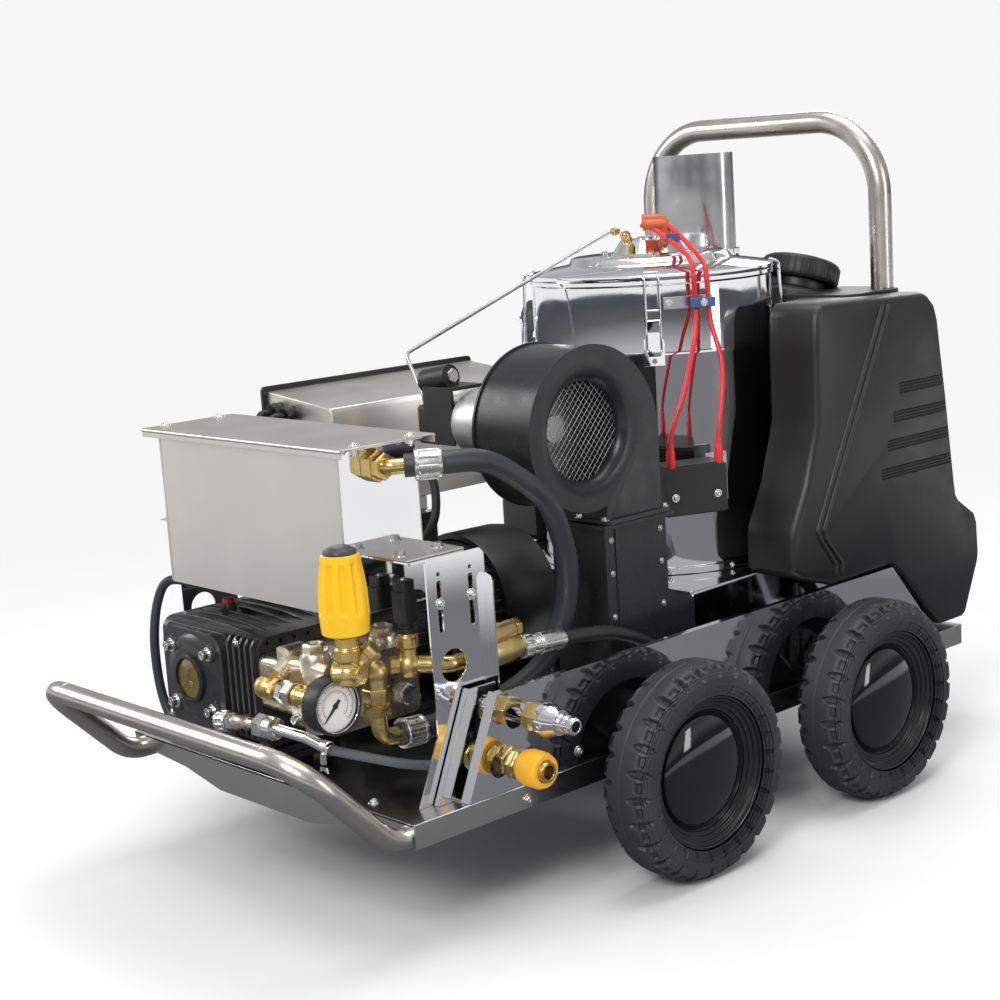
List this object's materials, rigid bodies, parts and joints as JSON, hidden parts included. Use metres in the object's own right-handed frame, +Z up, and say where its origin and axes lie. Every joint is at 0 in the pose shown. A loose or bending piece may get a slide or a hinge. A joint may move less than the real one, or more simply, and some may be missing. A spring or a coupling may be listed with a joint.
{
  "type": "hot water pressure washer",
  "caption": "Open-frame hot-water pressure washer: steel tray on wheels, plunger pump, motor, blower-fed upright boiler, header tank, fuel tank and push handle.",
  "frame": {"origin": "on the floor, under the middle of the machine's overall box", "axes": "+Z up, +Y from the front bumper to the rear push handle, +X to the side with the blower inlet and the water ports"},
  "size_m": [0.734, 1.174, 0.855],
  "materials": {
    "tray_steel": "brushed stainless sheet",
    "polished_sheet": "mirror-polished stainless sheet",
    "tube_steel": "brushed round tube",
    "tank_steel": "satin stainless sheet",
    "axle_steel": "plain turned steel",
    "shaft_steel": "machined steel",
    "coil_steel": "sooty steel tube",
    "pipe_steel": "drawn steel pipe",
    "latch_plate": "bright zinc plate",
    "port_chrome": "chrome plate",
    "nickel_head": "nickel-plated forging",
    "brass": "turned and forged brass",
    "pump_black": "black satin enamel",
    "motor_black": "black gloss enamel",
    "blower_black": "black satin powder coat",
    "burner_alloy": "die-cast aluminium",
    "tyre_rubber": "solid black rubber",
    "rim_black": "black moulding with glossy dome",
    "hose_rubber": "black wrapped rubber hose",
    "hose_grey": "grey-black hose",
    "lead_red": "red silicone cable",
    "knob_yellow": "yellow moulded plastic",
    "sleeve_orange": "orange-yellow plastic",
    "cap_red": "red plastic",
    "gauge_black": "black plastic",
    "needle_black": "black enamel",
    "box_black": "black moulded box",
    "fuel_plastic": "fine-grained black polyethylene",
    "cap_black": "black ribbed plastic",
    "switch_black": "black plastic",
    "ceramic": "glazed white ceramic",
    "float_brass": "spun brass"
  },
  "bodies": {
    "machine": {"base_tray": "tray_steel", "side_panel_right": "polished_sheet", "side_panel_left": "polished_sheet", "front_bumper": "tube_steel", "rear_handle": "tube_steel", "front_axle": "axle_steel", "rear_axle": "axle_steel", "tank_bracket_right": "polished_sheet", "tank_bracket_left": "polished_sheet", "water_tank": "tank_steel", "water_tank_lid": "tank_steel", "pump_crankcase": "pump_black", "crankcase_cover": "pump_black", "oil_cap": "cap_red", "pump_manifold": "nickel_head", "unloader_body": "brass", "gauge_case": "gauge_black", "outlet_line": "brass", "pressure_hose": "hose_rubber", "feed_hose": "hose_grey", "bypass_line": "hose_grey", "motor_housing": "motor_black", "blower_housing": "blower_black", "burner_motor": "burner_alloy", "blower_duct": "blower_black", "fuel_pipe": "pipe_steel", "boiler_shell": "polished_sheet", "boiler_lid": "polished_sheet", "heating_coil": "coil_steel", "boiler_stand": "polished_sheet", "ignition_transformer": "box_black", "ignition_leads": "lead_red", "fuel_tank": "fuel_plastic", "control_box": "polished_sheet", "inlet_nipple": "port_chrome", "outlet_coupler": "brass"},
    "wheel_front_right": {"tyre_front_right": "tyre_rubber", "wheel_rim_front_right": "rim_black"},
    "wheel_front_left": {"tyre_front_left": "tyre_rubber", "wheel_rim_front_left": "rim_black"},
    "wheel_rear_right": {"tyre_rear_right": "tyre_rubber", "wheel_rim_rear_right": "rim_black"},
    "wheel_rear_left": {"tyre_rear_left": "tyre_rubber", "wheel_rim_rear_left": "rim_black"},
    "drive_shaft": {"drive_shaft": "shaft_steel"},
    "plunger_1": {"plunger_1": "ceramic"},
    "plunger_2": {"plunger_2": "ceramic"},
    "plunger_3": {"plunger_3": "ceramic"},
    "unloader_knob": {"unloader_knob": "knob_yellow"},
    "gauge_needle": {"gauge_needle": "needle_black"},
    "blower_impeller": {"blower_impeller": "shaft_steel"},
    "lid_latch_1": {"lid_latch_1": "latch_plate"},
    "lid_latch_2": {"lid_latch_2": "latch_plate"},
    "lid_latch_3": {"lid_latch_3": "latch_plate"},
    "lid_latch_4": {"lid_latch_4": "latch_plate"},
    "filler_cap": {"filler_cap": "cap_black"},
    "main_switch_knob": {"main_switch_knob": "switch_black"},
    "thermostat_knob": {"thermostat_knob": "switch_black"},
    "coupler_sleeve": {"coupler_sleeve": "sleeve_orange"},
    "float_arm": {"float_arm": "float_brass"}
  },
  "joints": [
    {"name": "wheel_front_right_spin", "type": "hinge", "parent": "machine", "child": "wheel_front_right", "pos_m": [0.302, -0.089, 0.125], "axis": [1, 0, 0], "continuous": true},
    {"name": "wheel_front_left_spin", "type": "hinge", "parent": "machine", "child": "wheel_front_left", "pos_m": [-0.302, -0.089, 0.125], "axis": [1, 0, 0], "continuous": true},
    {"name": "wheel_rear_right_spin", "type": "hinge", "parent": "machine", "child": "wheel_rear_right", "pos_m": [0.302, 0.251, 0.125], "axis": [1, 0, 0], "continuous": true},
    {"name": "wheel_rear_left_spin", "type": "hinge", "parent": "machine", "child": "wheel_rear_left", "pos_m": [-0.302, 0.251, 0.125], "axis": [1, 0, 0], "continuous": true},
    {"name": "drive_shaft_spin", "type": "hinge", "parent": "machine", "child": "drive_shaft", "pos_m": [-0.111, -0.3, 0.246], "axis": [0, 1, 0], "continuous": true},
    {"name": "plunger_1_slide", "type": "slide", "parent": "machine", "child": "plunger_1", "axis": [1, 0, 0], "range_m": [-0.007, 0.007]},
    {"name": "plunger_2_slide", "type": "slide", "parent": "machine", "child": "plunger_2", "axis": [1, 0, 0], "range_m": [-0.007, 0.007]},
    {"name": "plunger_3_slide", "type": "slide", "parent": "machine", "child": "plunger_3", "axis": [1, 0, 0], "range_m": [-0.007, 0.007]},
    {"name": "unloader_knob_turn", "type": "hinge", "parent": "machine", "child": "unloader_knob", "pos_m": [0.2, -0.463, 0.343], "axis": [0, 0, 1], "range_deg": [-540, 540]},
    {"name": "gauge_needle_turn", "type": "hinge", "parent": "machine", "child": "gauge_needle", "pos_m": [0.1805, -0.47, 0.266], "axis": [-1, 0, 0], "range_deg": [0, 270], "stiffness_Nm_per_rad": 0.001, "springref_deg": -11.46},
    {"name": "blower_impeller_spin", "type": "hinge", "parent": "machine", "child": "blower_impeller", "pos_m": [0.1625, -0.105, 0.505], "axis": [1, 0, 0], "continuous": true},
    {"name": "lid_latch_1_tip", "type": "hinge", "parent": "machine", "child": "lid_latch_1", "pos_m": [-0.12579, 0.1187, 0.568], "axis": [0.682, -0.7314, 0], "range_deg": [0, 90]},
    {"name": "lid_latch_2_tip", "type": "hinge", "parent": "machine", "child": "lid_latch_2", "pos_m": [0.1173, 0.11021, 0.568], "axis": [0.7314, 0.682, 0], "range_deg": [0, 90]},
    {"name": "lid_latch_3_tip", "type": "hinge", "parent": "machine", "child": "lid_latch_3", "pos_m": [0.12579, 0.3533, 0.568], "axis": [-0.682, 0.7314, 0], "range_deg": [0, 20]},
    {"name": "lid_latch_4_tip", "type": "hinge", "parent": "machine", "child": "lid_latch_4", "pos_m": [-0.1173, 0.36179, 0.568], "axis": [-0.7314, -0.682, 0], "range_deg": [0, 20]},
    {"name": "filler_cap_turn", "type": "hinge", "parent": "machine", "child": "filler_cap", "pos_m": [0.087, 0.437, 0.628], "axis": [0, 0.342, 0.9397], "range_deg": [0, 360]},
    {"name": "main_switch_turn", "type": "hinge", "parent": "machine", "child": "main_switch_knob", "pos_m": [-0.27, -0.129, 0.47], "axis": [-1, 0, 0], "range_deg": [0, 90]},
    {"name": "thermostat_turn", "type": "hinge", "parent": "machine", "child": "thermostat_knob", "pos_m": [-0.27, -0.019, 0.47], "axis": [-1, 0, 0], "range_deg": [0, 270]},
    {"name": "coupler_sleeve_slide", "type": "slide", "parent": "machine", "child": "coupler_sleeve", "axis": [-1, 0, 0], "range_m": [0, 0.006], "stiffness_N_per_m": 300, "springref_m": -0.01},
    {"name": "float_arm_swing", "type": "hinge", "parent": "machine", "child": "float_arm", "pos_m": [-0.112, -0.381, 0.5], "axis": [0, -1, 0], "range_deg": [0, 35]}
  ]
}
